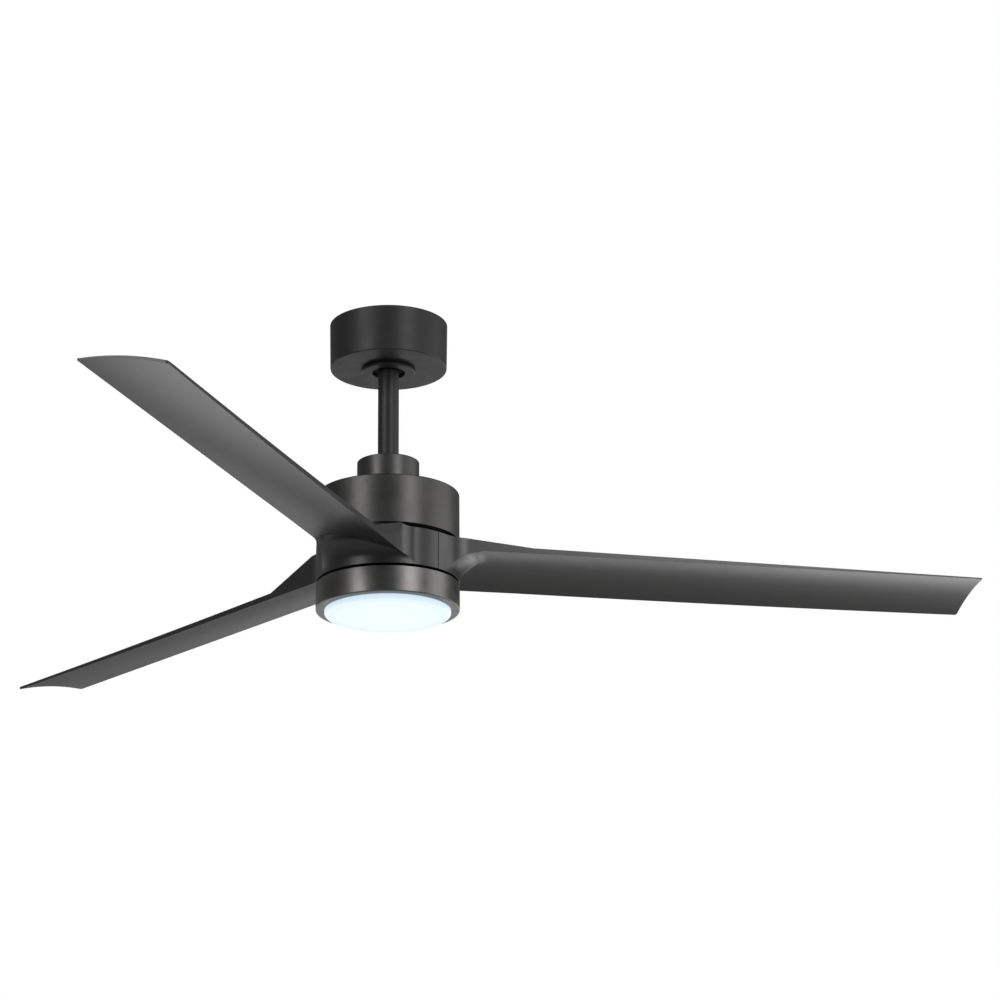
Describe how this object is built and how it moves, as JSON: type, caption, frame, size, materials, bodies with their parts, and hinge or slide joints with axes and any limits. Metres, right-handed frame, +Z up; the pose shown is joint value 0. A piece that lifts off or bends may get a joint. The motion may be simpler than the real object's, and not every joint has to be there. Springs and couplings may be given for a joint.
{
  "type": "ceiling fan with light",
  "caption": "Ceiling fan with straight pitched blades that grow out of a slim drum motor, a short rod, a cup canopy and a round flat light underneath.",
  "frame": {"origin": "middle of the hanging bracket's top face, in the plane of the ceiling and on the fan's axis", "axes": "+Z up into the ceiling along the fan's axis, +X along blade 1"},
  "size_m": [1.1887, 1.3699, 0.3875],
  "materials": {
    "charcoal_paint": "matt charcoal powder coat",
    "charcoal_satin": "satin charcoal over brushed steel",
    "blade_plastic": "fine matt moulded charcoal ABS",
    "opal_lens": "opal diffuser, lit from inside",
    "zinc_steel": "zinc plated",
    "screw_black": "black oxide",
    "nylon_natural": "natural nylon",
    "black_plastic": "moulded black",
    "cast_alloy": "as cast",
    "shaft_steel": "turned",
    "lamination_steel": "stacked laminations",
    "winding_copper": "enamelled copper wire",
    "magnet_grey": "sintered ferrite",
    "bearing_steel": "ground bearing steel",
    "board_white": "white solder mask",
    "led_phosphor": "LED phosphor",
    "wire_jacket": "soft PVC"
  },
  "bodies": {
    "ceiling_mount": {"mounting_bracket": "zinc_steel", "canopy": "charcoal_paint", "canopy_trim": "charcoal_paint", "canopy_screws": "screw_black", "receiver_module": "black_plastic"},
    "ball_socket_liner": {"ball_liner": "nylon_natural"},
    "hanging_motor": {"hanger_ball": "black_plastic", "ball_pin": "zinc_steel", "yoke_pin": "zinc_steel", "hairpin_clip": "zinc_steel", "downrod": "charcoal_paint", "lead_wires": "wire_jacket", "yoke": "cast_alloy", "yoke_set_screws": "screw_black", "coupling_cover": "charcoal_satin", "housing_screws": "screw_black", "motor_housing": "charcoal_satin", "motor_shaft": "shaft_steel", "stator_hub": "cast_alloy", "stator_core": "lamination_steel", "stator_windings": "winding_copper", "light_plate": "zinc_steel", "shaft_nut": "zinc_steel", "light_ring": "charcoal_satin", "light_screws": "screw_black", "led_driver": "black_plastic", "led_tray": "cast_alloy", "led_board": "board_white", "led_chips": "led_phosphor", "lens": "opal_lens"},
    "rotor": {"rotor_upper_case": "cast_alloy", "rotor_lower_case": "cast_alloy", "upper_bearing": "bearing_steel", "lower_bearing": "bearing_steel", "magnet_ring": "magnet_grey", "case_screws": "screw_black", "blade_hub": "cast_alloy", "hub_screws": "screw_black", "blade_1": "blade_plastic", "blade_2": "blade_plastic", "blade_3": "blade_plastic", "blade_screws": "screw_black"}
  },
  "joints": [
    {"name": "hanger_tilt_x", "type": "hinge", "parent": "ceiling_mount", "child": "ball_socket_liner", "pos_m": [0, 0, -0.032], "axis": [1, 0, 0], "range_deg": [-8, 8]},
    {"name": "hanger_tilt_y", "type": "hinge", "parent": "ball_socket_liner", "child": "hanging_motor", "pos_m": [0, 0, -0.032], "axis": [0, 1, 0], "range_deg": [-8, 8]},
    {"name": "blade_spin", "type": "hinge", "parent": "hanging_motor", "child": "rotor", "pos_m": [0, 0, -0.26], "axis": [0, 0, 1], "continuous": true}
  ]
}
